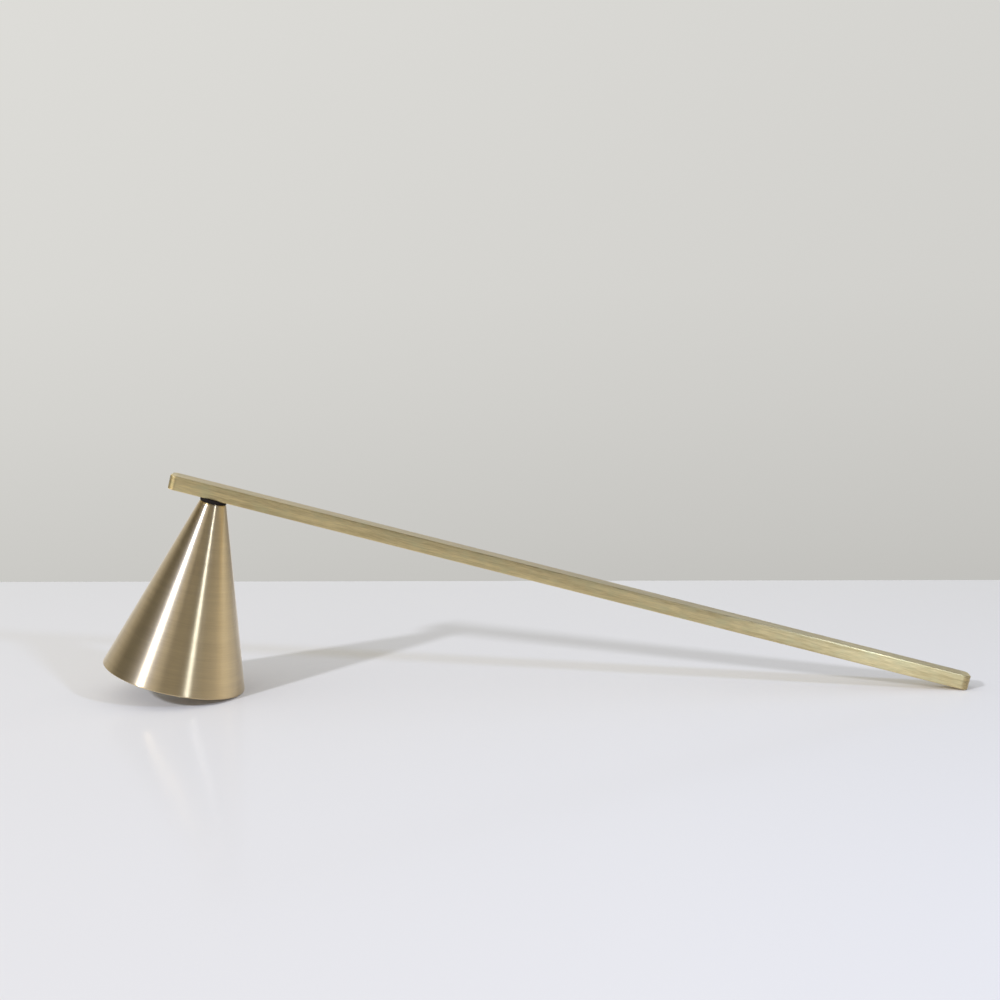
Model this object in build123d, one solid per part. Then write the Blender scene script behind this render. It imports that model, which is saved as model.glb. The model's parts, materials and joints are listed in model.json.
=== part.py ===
from build123d import *
import math
import os

# Candle snuffer in millimetres, +Z up, +X towards the free end of the handle.
# A flat bar carries a conical bell, held square to it by one screw from inside.
# The part lies as it does on a table, on the rim of the bell and on the bottom edge
# of the handle's free end. The origin is on the table, under the middle of the part.

# Handle
handle_length = 225.0
handle_width = 6.0
handle_thickness = 4.0
handle_corner_radius = 1.6
handle_edge_radius = 0.3
bell_axis_inset = 12.8

# Bell, a spun shell of even wall with a closed crown
bell_height = 50.5
bell_crown_diameter = 7.3
bell_mouth_diameter = 40.0
bell_wall = 1.0
bell_shoulder_radius = 0.8
bell_rim_radius = 0.25
bell_inner_rim_chamfer = 0.2

# Washer between the handle and the crown of the bell, as wide as the crown
spacer_thickness = 0.9

# Screw with a slotted cheese head, from inside the bell up into the handle
screw_diameter = 2.5
screw_engagement = 1.8
screw_tip_chamfer = 0.3
head_diameter = 4.5
head_height = 1.6
head_edge_chamfer = 0.2
slot_width = 0.6
slot_depth = 0.7
thread_clearance = 0.05
shank_clearance = 0.2
hole_run_out = 0.4
drill_point_angle = 118.0

# Plain washer and split lock washer under the head
plain_washer_diameter = 5.0
plain_washer_thickness = 0.5
plain_washer_chamfer = 0.1
lock_washer_diameter = 4.4
lock_washer_thickness = 0.6
lock_washer_gap = 0.5
lock_washer_split_angle = 25.0

# What follows from the sizes above
crown_radius = bell_crown_diameter / 2
mouth_radius = bell_mouth_diameter / 2
cone_angle = math.atan((mouth_radius - crown_radius) / bell_height)
wall_across = bell_wall / math.cos(cone_angle)
shank_radius = screw_diameter / 2
passing_radius = shank_radius + shank_clearance
# Levels along the screw, down from the underside of the handle
crown_level = -spacer_thickness
ceiling_level = crown_level - bell_wall
rim_level = crown_level - bell_height
lock_level = ceiling_level - plain_washer_thickness
head_level = lock_level - lock_washer_thickness


def ring(outer_radius, inner_radius, thickness, top):
    """A flat ring on the bell's axis, hanging below the level top."""
    profile = Pos(inner_radius, top - thickness) * Rectangle(
        outer_radius - inner_radius, thickness, align=(Align.MIN, Align.MIN)
    )
    return revolve(Plane.XZ * profile, Axis.Z)


def handle():
    """The flat bar, with rounded corners, broken edges and a blind hole for the screw."""
    outline = Pos(handle_length / 2) * RectangleRounded(handle_length, handle_width, handle_corner_radius)
    bar = extrude(outline, handle_thickness)
    faces = bar.faces().sort_by(Axis.Z)
    bar = fillet(faces[0].edges() + faces[-1].edges(), handle_edge_radius)
    radius = shank_radius + thread_clearance
    depth = screw_engagement + hole_run_out
    point = radius / math.tan(math.radians(drill_point_angle / 2))
    bore = make_face(Polyline((0, 0), (radius, 0), (radius, depth), (0, depth + point), close=True))
    return bar - Pos(bell_axis_inset) * revolve(Plane.XZ * bore, Axis.Z)


def spacer():
    """The soft washer that keeps the crown of the bell off the handle."""
    return Pos(bell_axis_inset) * ring(crown_radius, passing_radius, spacer_thickness, 0)


def bell():
    """The spun cone: outer skin, rim, inner skin and ceiling in one closed profile."""
    ceiling_radius = crown_radius + bell_wall * math.tan(cone_angle) - wall_across
    profile = make_face(
        Polyline(
            (passing_radius, crown_level),
            (crown_radius, crown_level),
            (mouth_radius, rim_level),
            (mouth_radius - wall_across, rim_level),
            (ceiling_radius, ceiling_level),
            (passing_radius, ceiling_level),
            close=True,
        )
    )

    def corner(x, y):
        return profile.vertices().sort_by_distance((x, y))[0]

    profile = fillet(corner(crown_radius, crown_level), bell_shoulder_radius)
    profile = fillet(corner(mouth_radius, rim_level), bell_rim_radius)
    profile = chamfer(corner(mouth_radius - wall_across, rim_level), bell_inner_rim_chamfer)
    return Pos(bell_axis_inset) * revolve(Plane.XZ * profile, Axis.Z)


def plain_washer():
    """The washer that spreads the load of the screw over the ceiling of the bell."""
    washer = ring(plain_washer_diameter / 2, passing_radius, plain_washer_thickness, ceiling_level)
    lower_outer = washer.faces().sort_by(Axis.Z)[0].edges().sort_by(SortBy.RADIUS)[-1]
    return Pos(bell_axis_inset) * chamfer(lower_outer, plain_washer_chamfer)


def lock_washer():
    """The split ring, flattened by the screw, with its slanting cut."""
    outer_radius = lock_washer_diameter / 2
    washer = ring(outer_radius, passing_radius, lock_washer_thickness, lock_level)
    middle = lock_level - lock_washer_thickness / 2
    cut = Box(lock_washer_gap, outer_radius, lock_washer_diameter, align=(Align.CENTER, Align.MIN, Align.CENTER))
    cut = Pos(0, 0, middle) * Rot(0, lock_washer_split_angle, 0) * cut
    return Pos(bell_axis_inset) * (washer - cut)


def screw():
    """The cheese head with its slot, and the plain shank up to the tapped hole's depth."""
    tip = screw_engagement
    bottom = head_level - head_height
    head_radius = head_diameter / 2
    profile = make_face(
        Polyline(
            (0, tip),
            (shank_radius - screw_tip_chamfer, tip),
            (shank_radius, tip - screw_tip_chamfer),
            (shank_radius, head_level),
            (head_radius, head_level),
            (head_radius, bottom),
            (0, bottom),
            close=True,
        )
    )
    edge = profile.vertices().sort_by_distance((head_radius, bottom))[0]
    body = revolve(Plane.XZ * chamfer(edge, head_edge_chamfer), Axis.Z)
    slot = Pos(0, 0, bottom) * Box(
        head_diameter, slot_width, slot_depth, align=(Align.CENTER, Align.CENTER, Align.MIN)
    )
    return Pos(bell_axis_inset) * (body - slot)


def resting_angle():
    """Degrees that the handle slopes, from the table's plane under both rounded edges."""
    rim_centre = mouth_radius - bell_rim_radius * (1 + math.sin(cone_angle)) / math.cos(cone_angle)
    run = handle_length - handle_edge_radius - bell_axis_inset - rim_centre
    rise = handle_edge_radius - bell_rim_radius - rim_level
    unequal = math.asin((bell_rim_radius - handle_edge_radius) / math.hypot(run, rise))
    return math.degrees(math.atan2(rise, run) + unequal)


def main():
    pieces = {
        "handle": handle(),
        "spacer_washer": spacer(),
        "bell": bell(),
        "plain_washer": plain_washer(),
        "lock_washer": lock_washer(),
        "fixing_screw": screw(),
    }
    tilt = Rot(0, resting_angle(), 0)
    tilted = {name: tilt * piece for name, piece in pieces.items()}
    boxes = [piece.bounding_box() for piece in tilted.values()]
    left = min(box.min.X for box in boxes)
    right = max(box.max.X for box in boxes)
    lowest = min(box.min.Z for box in boxes)
    to_origin = Pos(-(left + right) / 2, 0, -lowest)
    os.makedirs("parts", exist_ok=True)
    for name, piece in tilted.items():
        export_step(to_origin * piece, f"parts/{name}.step")
    print("slope of the handle", round(resting_angle(), 3), "degrees")
    print("length on the table", round(right - left, 3))
    for name, box in zip(pieces, boxes):
        print(name, "rests", round(box.min.Z - lowest, 4), "above the table")


main()
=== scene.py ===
import json
import math
import bpy
from mathutils import Matrix, Vector


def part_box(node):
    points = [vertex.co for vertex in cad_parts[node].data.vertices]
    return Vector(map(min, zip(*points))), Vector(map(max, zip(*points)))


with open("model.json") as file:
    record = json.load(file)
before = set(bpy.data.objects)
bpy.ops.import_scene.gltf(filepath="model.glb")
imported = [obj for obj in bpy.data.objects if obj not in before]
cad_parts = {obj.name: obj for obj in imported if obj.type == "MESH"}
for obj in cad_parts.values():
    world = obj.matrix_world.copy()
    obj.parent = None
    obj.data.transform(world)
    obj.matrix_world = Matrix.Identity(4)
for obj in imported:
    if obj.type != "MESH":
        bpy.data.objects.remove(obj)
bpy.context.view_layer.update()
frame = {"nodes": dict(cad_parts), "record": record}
nodes = frame["nodes"]
mm = 0.001

# The bar slopes, so every pattern follows the bar's own directions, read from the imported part
mounts = {mount["name"]: mount for mount in frame["record"]["mounts"]}
barUp = Vector(mounts["handle_top"]["axis"]).normalized()  # also the line of the bell's axis
barAlong = Vector((barUp.z, 0, -barUp.x))  # from the bell towards the free end
slope = math.atan2(barUp.x, barUp.z)

noiseSpan = (0.3, 0.7)  # where most of a noise lies
quarterTurn = 0.25  # turns a highlight from along the brush marks to across them
mixSockets = {"FLOAT": (2, 3, 0), "RGBA": (6, 7, 2)}  # both inputs and the output, by kind


def middleOf(node):
    low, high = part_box(node)
    return (low + high) / 2


def halfWidthOf(node):
    low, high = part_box(node)
    return (high.y - low.y) / 2


def linear(text):
    # sRGB hex to the linear colour that shaders want
    values = []
    for start in (1, 3, 5):
        part = int(text[start:start + 2], 16) / 255
        values.append(part / 12.92 if part <= 0.04045 else ((part + 0.055) / 1.055) ** 2.4)
    return (*values, 1)


def addNode(tree, kind, inputs=None, stops=None, **settings):
    # one node, with its settings, the stops of its ramp, and its inputs set or linked
    node = tree.nodes.new(kind)
    for name, value in settings.items():
        setattr(node, name, value)
    if stops:
        marks = node.color_ramp.elements
        while len(marks) < len(stops):
            marks.new(0.5)
        for mark, (position, colour) in zip(marks, stops):
            mark.position = position
            mark.color = colour
    for name, value in (inputs or {}).items():
        socket = node.inputs[name]
        if isinstance(value, bpy.types.NodeSocket):
            tree.links.new(value, socket)
        else:
            socket.default_value = value
    return node


def addMath(tree, operation, *values):
    return addNode(tree, "ShaderNodeMath", dict(enumerate(values)), operation=operation).outputs[0]


def addRange(tree, value, span, to=(0, 1)):
    # carries a value from one span over to another, and stops it at both ends
    node = addNode(
        tree, "ShaderNodeMapRange",
        {"Value": value, "From Min": span[0], "From Max": span[1], "To Min": to[0], "To Max": to[1]},
    )
    return node.outputs[0]


def addMix(tree, share, first, second, kind="RGBA", **settings):
    one, other, result = mixSockets[kind]
    node = addNode(
        tree, "ShaderNodeMix", {0: share, one: first, other: second}, data_type=kind, **settings
    )
    return node.outputs[result]


def newMaterial(name):
    material = bpy.data.materials.new(name)
    material.use_nodes = True
    material.node_tree.nodes.clear()
    return material, material.node_tree


def ownPlace(tree, centre):
    # x along the bar, y across it and z up the bell's axis, in metres from centre
    place = addNode(tree, "ShaderNodeTexCoord")
    turned = addNode(
        tree, "ShaderNodeMapping",
        {"Vector": place.outputs["Object"], "Location": centre, "Rotation": (0, slope, 0)},
        vector_type="TEXTURE",
    )
    return turned.outputs["Vector"]


def fromAxis(tree, parts):
    # how far a point is from the bell's axis, from the three parts of its own place
    across = addNode(tree, "ShaderNodeCombineXYZ", {"X": parts.outputs["X"], "Y": parts.outputs["Y"]})
    radius = addNode(tree, "ShaderNodeVectorMath", {0: across.outputs[0]}, operation="LENGTH")
    return radius.outputs["Value"]


def stretchedNoise(tree, place, size, detail, roughness):
    # noise whose grains are size long, wide and high
    scaled = addNode(
        tree, "ShaderNodeVectorMath",
        {0: place, 1: [1 / length for length in size]},
        operation="MULTIPLY",
    )
    noise = addNode(
        tree, "ShaderNodeTexNoise",
        {"Vector": scaled.outputs[0], "Scale": 1, "Detail": detail, "Roughness": roughness},
    )
    return noise.outputs["Fac"]


def addLacqueredBrass(tree, look, colour, rough, marksRun, normal):
    # marks that all run one way draw each highlight out across them, and the lacquer lays a paler one on it
    shader = addNode(
        tree, "ShaderNodeBsdfPrincipled",
        {"Base Color": colour, "Metallic": 1, "Roughness": rough,
         "Anisotropic": look["anisotropy"], "Anisotropic Rotation": quarterTurn,
         "Tangent": marksRun, "Normal": normal,
         "Coat Weight": 1, "Coat Roughness": look["coatRoughness"], "Coat IOR": look["coatIor"]},
    )
    addNode(tree, "ShaderNodeOutputMaterial", {"Surface": shader.outputs[0]})


# Handle: brass bar, brushed along its length on an abrasive belt, then lacquered.
# The brush marks stretch every highlight up and down across the bar and dull it along the bar.
# The belt gives a little, so each side is slightly crowned, and the corners come out duller.
# Sizes of its patterns are along the bar, across it and up it.
handleLook = {
    "brass": "#f6df9f",
    "shade": "#c9b275",
    "toneSpan": (0.75, 1.25),
    "olive": "#d6cd95",
    "oliveSpan": (0.45, 0.75),
    "oliveShare": 0.6,
    "coatRoughness": 0.35,
    "coatIor": 1.7,
    # real belt marks are 0.05 mm wide, drawn coarser so that they show
    "marks": (3.5 * mm, 0.34 * mm, 0.34 * mm),
    "bands": (25 * mm, 1.1 * mm, 1.1 * mm),
    "clouds": (5 * mm, 2.5 * mm, 2.5 * mm),
    "bump": 0.4,
    "bumpHeight": 0.02 * mm,
    "roughness": (0.34, 0.46),
    "endRoughness": 0.9,
    "cornerRadius": 1.6 * mm,
    "cornerBlend": 1.4,
    "anisotropy": 0.93,
    "offLine": 0.02,
    "crown": 0.11 * mm,
}


def barSize():
    # length and thickness of the sloping bar, from the box that it fills
    low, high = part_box("handle")
    run, rise = high.x - low.x, high.z - low.z
    spread = math.cos(2 * slope)
    length = (run * math.cos(slope) - rise * math.sin(slope)) / spread
    thickness = (rise * math.cos(slope) - run * math.sin(slope)) / spread
    return length, thickness


def brushedBrass():
    look = handleLook
    length, thickness = barSize()
    material, tree = newMaterial("brushedLacqueredBrass")
    place = ownPlace(tree, middleOf("handle"))
    parts = addNode(tree, "ShaderNodeSeparateXYZ", {0: place})
    marks = stretchedNoise(tree, place, look["marks"], detail=3, roughness=0.6)
    bands = stretchedNoise(tree, place, look["bands"], detail=2, roughness=0.5)
    clouds = stretchedNoise(tree, place, look["clouds"], detail=2, roughness=0.5)
    grain = addMath(tree, "ADD", marks, bands)
    tone = addRange(tree, grain, look["toneSpan"])
    colour = addMix(tree, tone, linear(look["shade"]), linear(look["brass"]))
    olive = addRange(tree, clouds, look["oliveSpan"], (0, look["oliveShare"]))
    colour = addMix(tree, olive, colour, linear(look["olive"]))
    rough = addRange(tree, marks, noiseSpan, look["roughness"])
    fromMiddle = addMath(tree, "ABSOLUTE", parts.outputs["X"])
    cornerStart = length / 2 - look["cornerBlend"] * look["cornerRadius"]
    corner = addRange(tree, fromMiddle, (cornerStart, length / 2 - look["cornerRadius"]))
    rough = addMix(tree, corner, rough, look["endRoughness"], kind="FLOAT")
    level = addMath(tree, "MULTIPLY", parts.outputs["Z"], 2 / thickness)
    sag = addMath(tree, "MULTIPLY", level, level)
    crowned = addNode(
        tree, "ShaderNodeBump",
        {"Height": sag, "Strength": 1, "Distance": look["crown"]},
        invert=True,
    )
    bump = addNode(
        tree, "ShaderNodeBump",
        {"Height": grain, "Strength": look["bump"], "Distance": look["bumpHeight"],
         "Normal": crowned.outputs[0]},
    )
    # a touch off the bar's line, so that the end faces have a brushing direction too
    run = (barAlong + look["offLine"] * barUp + Vector((0, look["offLine"], 0))).normalized()
    marksRun = addNode(tree, "ShaderNodeCombineXYZ", {"X": run.x, "Y": run.y, "Z": run.z})
    addLacqueredBrass(tree, look, colour, rough, marksRun.outputs[0], bump.outputs[0])
    return material


# Bell: spun brass, turned to a fine satin and lacquered.
# The rings round it are too fine to see one by one, and draw each highlight out along the slope.
# Sizes of its patterns are along the bar, across it and up the bell's axis.
bellLook = {
    "brass": "#e8ce99",
    "shade": "#dcc18d",
    "toneSpan": (0.7, 1.3),
    "inside": "#b89c68",
    "insideSpan": (0.5 * mm, 0.8 * mm),  # depth in the wall where the outside gives way to the inside
    "coatRoughness": 0.28,
    "coatIor": 1.7,
    # real turning marks are 0.1 mm apart, drawn coarser so that they show
    "rings": (6 * mm, 6 * mm, 0.28 * mm),
    "broadRings": (30 * mm, 30 * mm, 1.6 * mm),
    "bump": 0.25,
    "bumpHeight": 0.02 * mm,
    "roughness": (0.32, 0.37),
    "insideRoughness": 0.5,
    "anisotropy": 1,
}


def turnedBrass():
    look = bellLook
    material, tree = newMaterial("turnedSatinBrass")
    crown = middleOf("spacer_washer")
    place = ownPlace(tree, crown)
    parts = addNode(tree, "ShaderNodeSeparateXYZ", {0: place})
    rings = stretchedNoise(tree, place, look["rings"], detail=3, roughness=0.55)
    broadRings = stretchedNoise(tree, place, look["broadRings"], detail=2, roughness=0.5)
    grain = addMath(tree, "ADD", rings, broadRings)
    tone = addRange(tree, grain, look["toneSpan"])
    colour = addMix(tree, tone, linear(look["shade"]), linear(look["brass"]))
    rough = addRange(tree, rings, noiseSpan, look["roughness"])
    # inside and outside are told apart by how far a point lies within the outer cone
    crownRadius = halfWidthOf("spacer_washer")
    mouthDepth = (crown - Vector(mounts["bell_rim"]["pos_m"])).dot(barUp)
    flare = (halfWidthOf("bell") - crownRadius) / mouthDepth
    outer = addMath(tree, "MULTIPLY_ADD", parts.outputs["Z"], -flare, crownRadius)
    depth = addMath(tree, "SUBTRACT", outer, fromAxis(tree, parts))
    inside = addRange(tree, depth, look["insideSpan"])
    colour = addMix(tree, inside, colour, linear(look["inside"]))
    rough = addMix(tree, inside, rough, look["insideRoughness"], kind="FLOAT")
    bump = addNode(
        tree, "ShaderNodeBump",
        {"Height": grain, "Strength": look["bump"], "Distance": look["bumpHeight"]},
    )
    spot = addNode(tree, "ShaderNodeTexCoord")
    fromCrown = addNode(
        tree, "ShaderNodeVectorMath",
        {0: spot.outputs["Object"], 1: crown},
        operation="SUBTRACT",
    )
    marksRun = addNode(
        tree, "ShaderNodeVectorMath",
        {0: barUp, 1: fromCrown.outputs[0]},
        operation="CROSS_PRODUCT",
    )
    addLacqueredBrass(tree, look, colour, rough, marksRun.outputs[0], bump.outputs[0])
    return material


# Spacer washer: nitrile rubber, punched from sheet. It swallows light, with a faint grain.
rubberLook = {
    "black": "#15100d",
    "grey": "#241d19",
    "grain": 0.25 * mm,
    "bump": 0.4,
    "bumpHeight": 0.05 * mm,
    "roughness": 0.85,
    "specular": 0.2,
}


def punchedRubber():
    look = rubberLook
    material, tree = newMaterial("punchedBlackRubber")
    place = ownPlace(tree, middleOf("spacer_washer"))
    grain = stretchedNoise(tree, place, (look["grain"],) * 3, detail=3, roughness=0.6)
    colour = addMix(tree, grain, linear(look["black"]), linear(look["grey"]))
    bump = addNode(
        tree, "ShaderNodeBump",
        {"Height": grain, "Strength": look["bump"], "Distance": look["bumpHeight"]},
    )
    shader = addNode(
        tree, "ShaderNodeBsdfPrincipled",
        {"Base Color": colour, "Roughness": look["roughness"], "Specular IOR Level": look["specular"],
         "Normal": bump.outputs[0]},
    )
    addNode(tree, "ShaderNodeOutputMaterial", {"Surface": shader.outputs[0]})
    return material


# Screw and its washers: turned and stamped steel, bright zinc plated, a cool grey with a faint yellow cast.
steelLook = {
    "zinc": "#c9c9c2",
    "dull": "#a9a89c",
    "spangle": 0.7 * mm,
    "toolMark": 0.12 * mm,
    "bump": 0.3,
    "bumpHeight": 0.01 * mm,
    "roughness": (0.26, 0.42),
}


def platedSteel():
    look = steelLook
    material, tree = newMaterial("zincPlatedSteel")
    place = ownPlace(tree, middleOf("spacer_washer"))
    parts = addNode(tree, "ShaderNodeSeparateXYZ", {0: place})
    spangle = stretchedNoise(tree, place, (look["spangle"],) * 3, detail=2, roughness=0.5)
    toolMarks = addNode(
        tree, "ShaderNodeTexNoise",
        {"W": fromAxis(tree, parts), "Scale": 1 / look["toolMark"], "Detail": 1},
        noise_dimensions="1D",
    )
    colour = addMix(tree, spangle, linear(look["dull"]), linear(look["zinc"]))
    rough = addRange(tree, spangle, noiseSpan, look["roughness"])
    bump = addNode(
        tree, "ShaderNodeBump",
        {"Height": toolMarks.outputs["Fac"], "Strength": look["bump"], "Distance": look["bumpHeight"]},
    )
    shader = addNode(
        tree, "ShaderNodeBsdfPrincipled",
        {"Base Color": colour, "Metallic": 1, "Roughness": rough, "Normal": bump.outputs[0]},
    )
    addNode(tree, "ShaderNodeOutputMaterial", {"Surface": shader.outputs[0]})
    return material


def dress():
    steel = platedSteel()
    looks = {
        "handle": brushedBrass(),
        "bell": turnedBrass(),
        "spacer_washer": punchedRubber(),
        "plain_washer": steel,
        "lock_washer": steel,
        "fixing_screw": steel,
    }
    for name, material in looks.items():
        for slot in nodes[name].material_slots:
            slot.material = material
    print("materials on", ", ".join(sorted(looks)))


# Camera: a short telephoto a little above the table
cameraPlace = {
    "sensor": 36,
    "lens": 69.23,
    "nearest": 10 * mm,
    "farthest": 50,
    "place": (20.87 * mm, -517.5 * mm, 130.65 * mm),
    "pitch": 8.475,
    "turn": -3.202,
    "roll": -1.137,
}


def addCamera():
    data = bpy.data.cameras.new("camera")
    data.sensor_width = cameraPlace["sensor"]
    data.lens = cameraPlace["lens"]
    data.clip_start = cameraPlace["nearest"]
    data.clip_end = cameraPlace["farthest"]
    camera = bpy.data.objects.new("camera", data)
    bpy.context.scene.collection.objects.link(camera)
    camera.matrix_world = (
        Matrix.Translation(cameraPlace["place"])
        @ Matrix.Rotation(-math.radians(cameraPlace["turn"]), 4, "Z")
        @ Matrix.Rotation(math.radians(90 - cameraPlace["pitch"]), 4, "X")
        @ Matrix.Rotation(math.radians(cameraPlace["roll"]), 4, "Z")
    )
    bpy.context.scene.camera = camera
    print("camera set")


# Table: pale satin board, whose back edge crosses the picture behind the part.
# Its colour runs from far, at the back edge, to near, which it reaches at nearFrom: painted light at the
# back and painted shade towards the front, evening out the light of the lamps.
tableLook = {
    "far": "#f4f2ee",
    "near": "#e8e4de",
    "nearFrom": -400 * mm,
    "backEdge": 160.1 * mm,
    "backTurn": -2.19,
    "front": -900 * mm,
    "side": 900 * mm,
    "gloss": 0.07,
    # strength of the painted glow that lifts the board's shadows where the camera looks
    "lift": 0.04,
    "roughness": 0.17,
}


def addTable():
    look = tableLook
    mesh = bpy.data.meshes.new("table")
    corners = [
        (-look["side"], look["front"], 0),
        (look["side"], look["front"], 0),
        (look["side"], 0, 0),
        (-look["side"], 0, 0),
    ]
    mesh.from_pydata(corners, [], [(0, 1, 2, 3)])
    table = bpy.data.objects.new("table", mesh)
    bpy.context.scene.collection.objects.link(table)
    table.location = (0, look["backEdge"], 0)
    table.rotation_euler = (0, 0, math.radians(look["backTurn"]))
    material, tree = newMaterial("paleSatinBoard")
    place = addNode(tree, "ShaderNodeTexCoord")
    parts = addNode(tree, "ShaderNodeSeparateXYZ", {0: place.outputs["Object"]})
    # painted shade towards the front and painted light at the back edge, against the lamps' falloff
    towards = addRange(tree, parts.outputs["Y"], (0, look["nearFrom"]))
    colour = addMix(tree, towards, linear(look["far"]), linear(look["near"]))
    matt = addNode(tree, "ShaderNodeBsdfDiffuse", {"Color": colour})
    gloss = addNode(tree, "ShaderNodeBsdfAnisotropic", {"Roughness": look["roughness"]})
    board = addNode(
        tree, "ShaderNodeMixShader",
        {0: look["gloss"], 1: matt.outputs[0], 2: gloss.outputs[0]},
    )
    # painted light: the board glows a little where the camera looks, which lifts its shadows as light
    # spreading inside a board would
    seen = addNode(tree, "ShaderNodeLightPath")
    lift = addMath(tree, "MULTIPLY", seen.outputs["Is Camera Ray"], look["lift"])
    paintedGlow = addNode(tree, "ShaderNodeEmission", {"Color": colour, "Strength": lift})
    board = addNode(tree, "ShaderNodeAddShader", {0: board.outputs[0], 1: paintedGlow.outputs[0]})
    # from below the board is clear, so that the underside of the part can be seen
    clear = addNode(tree, "ShaderNodeBsdfTransparent")
    side = addNode(tree, "ShaderNodeNewGeometry")
    both = addNode(
        tree, "ShaderNodeMixShader",
        {0: side.outputs["Backfacing"], 1: board.outputs[0], 2: clear.outputs[0]},
    )
    addNode(tree, "ShaderNodeOutputMaterial", {"Surface": both.outputs[0]})
    mesh.materials.append(material)
    print("table set")


# Room: what the metal mirrors, by bearing and height. Bearing 0 is towards the camera, 90 to the right.
# It is pale behind the part and mostly dark in front of it, with a white screen on the right
# and a narrow pale one beside the camera.
# Matt surfaces get one wide, soft light instead, from the left front, as from a big diffuser there.
roomLook = {
    "low": [
        (-180, 0.9), (-172, 0.7), (-150, 0.8), (-135, 0.4), (-110, 0.35), (-98, 0.05), (-6, 0.02),
        (0, 0.5), (12, 0.5), (20, 0.15), (30, 0.05), (50, 0.2), (85, 0.2), (105, 0.5), (140, 0.3),
        (162, 0.25), (172, 0.7), (180, 0.9),
    ],
    "middle": [
        (-180, 0.66), (-165, 0.65), (-150, 0.75), (-130, 0.65), (-112, 0.25), (-102, 0.2), (-95, 0.06),
        (-72, 0.06), (-60, 0.2), (-45, 0.2), (-30, 0.2), (-18, 0.7), (-7, 0.6), (2, 0.02), (50, 0.02),
        (75, 0.15), (101, 0.25), (108, 1.3), (120, 1.3), (137, 0.5), (155, 0.28), (170, 0.4), (180, 0.7),
    ],
    "high": [
        (-180, 0.6), (-130, 0.8), (-100, 0.4), (-80, 0.15), (-45, 0.15), (-20, 0.05), (30, 0.02),
        (50, 0.4), (80, 0.4), (110, 0.1), (180, 0.3),
    ],
    "top": 0.7,
    "middleFrom": 12,
    "highFrom": 50,
    "topFrom": 70,
    "blend": 5,
    "tint": "#fffefb",
    "softFrom": (-0.75, -0.50, 0.43),
    "softEnd": -0.7,
    "soft": 0.91,
}
# Backdrop, by how far the line of sight points down or up, and a little darker towards the right. Its
# darkening downwards and to the right is painted shade.
backdropLook = {
    "heights": [
        (-0.20, "#c3c2be"),
        (-0.17, "#c8c7c3"),
        (-0.10, "#d0cfcb"),
        (-0.04, "#d5d4d0"),
        (0.10, "#d9d8d4"),
    ],
    "edge": 0.34,
    "left": 1.05,
    "right": 0.94,
}


def mirroredRoom(tree, parts):
    look = roomLook
    front = addMath(tree, "MULTIPLY", parts.outputs["Y"], -1)
    bearing = addMath(tree, "ARCTAN2", parts.outputs["X"], front)
    share = addRange(tree, bearing, (-math.pi, math.pi))
    height = addMath(tree, "ARCSINE", parts.outputs["Z"])
    # bands from the table upwards, each one over the one below with a soft step
    bands = []
    for band in ("low", "middle", "high"):
        stops = [((angle + 180) / 360, (glow, glow, glow, 1)) for angle, glow in look[band]]
        walls = addNode(tree, "ShaderNodeValToRGB", {"Fac": share}, stops)
        bands.append(walls.outputs["Color"])
    bands.append((look["top"], look["top"], look["top"], 1))
    room = bands[0]
    for start, walls in zip(("middleFrom", "highFrom", "topFrom"), bands[1:]):
        span = (math.radians(look[start] - look["blend"]), math.radians(look[start] + look["blend"]))
        room = addMix(tree, addRange(tree, height, span), room, walls)
    return room


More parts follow.
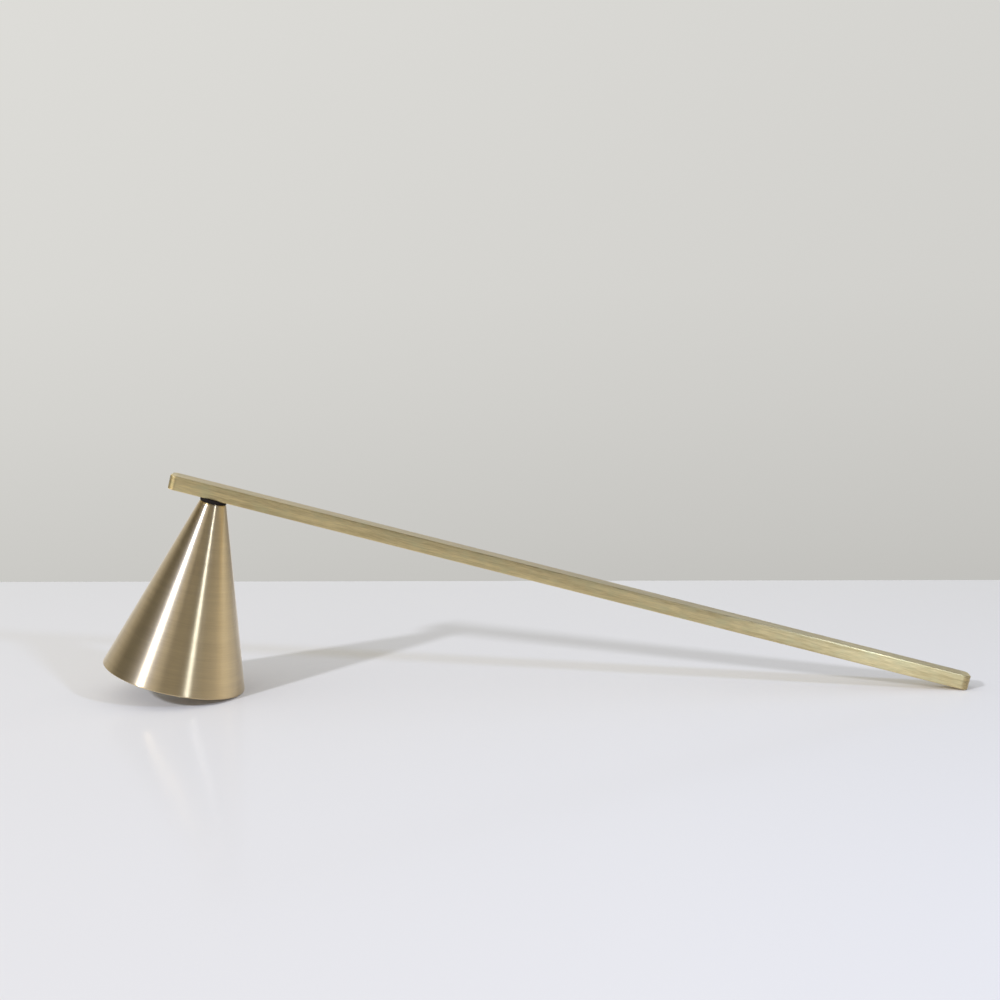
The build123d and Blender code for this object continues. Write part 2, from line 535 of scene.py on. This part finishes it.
def seenBackdrop(tree, parts):
    look = backdropLook
    lowest, highest = look["heights"][0][0], look["heights"][-1][0]
    # painted shade: the backdrop darkens downwards and towards the right
    height = addRange(tree, parts.outputs["Z"], (lowest, highest))
    paper = addNode(
        tree, "ShaderNodeValToRGB", {"Fac": height},
        [((z - lowest) / (highest - lowest), linear(colour)) for z, colour in look["heights"]],
    )
    fade = addRange(tree, parts.outputs["X"], (-look["edge"], look["edge"]), (look["left"], look["right"]))
    faded = addNode(
        tree, "ShaderNodeVectorMath",
        {0: paper.outputs["Color"], "Scale": fade},
        operation="SCALE",
    )
    return faded.outputs[0]


def addRoom():
    look = roomLook
    world = bpy.data.worlds.new("studio")
    bpy.context.scene.world = world
    world.use_nodes = True
    tree = world.node_tree
    tree.nodes.clear()
    place = addNode(tree, "ShaderNodeTexCoord")
    parts = addNode(tree, "ShaderNodeSeparateXYZ", {0: place.outputs["Generated"]})
    facing = addNode(
        tree, "ShaderNodeVectorMath",
        {0: place.outputs["Generated"], 1: look["softFrom"]},
        operation="DOT_PRODUCT",
    )
    soft = addRange(tree, facing.outputs["Value"], (look["softEnd"], 1), (0, look["soft"]))
    seen = addNode(tree, "ShaderNodeLightPath")
    light = addMix(tree, seen.outputs["Is Diffuse Ray"], mirroredRoom(tree, parts), soft)
    tinted = addMix(tree, 1, light, linear(look["tint"]), blend_type="MULTIPLY")
    shown = addMix(tree, seen.outputs["Is Camera Ray"], tinted, seenBackdrop(tree, parts))
    glow = addNode(tree, "ShaderNodeBackground", {"Color": shown, "Strength": 1})
    addNode(tree, "ShaderNodeOutputWorld", {"Surface": glow.outputs[0]})
    print("room set")


# Lamps: two small studio lamps in front. The right one is bluer, so its stripe on the brass stays pale.
lampLook = {
    "leftLamp": {"place": (-0.740, -0.867, 0.666), "power": 9.0, "size": 0.08, "colour": "#e9eeff"},
    "rightLamp": {"place": (0.284, -0.356, 0.325), "power": 0.86, "size": 0.05, "colour": "#c0d3ff"},
}


def addLamps():
    for name, look in lampLook.items():
        data = bpy.data.lights.new(name, "AREA")
        data.shape = "DISK"
        data.size = look["size"]
        data.energy = look["power"]
        data.color = linear(look["colour"])[:3]
        lamp = bpy.data.objects.new(name, data)
        bpy.context.scene.collection.objects.link(lamp)
        place = Vector(look["place"])
        lamp.location = place
        lamp.rotation_euler = (middleOf("handle") - place).to_track_quat("-Z", "Y").to_euler()
    print("lamps set")


dress()
addCamera()
addTable()
addRoom()
addLamps()
bpy.context.scene.view_settings.view_transform = "Standard"
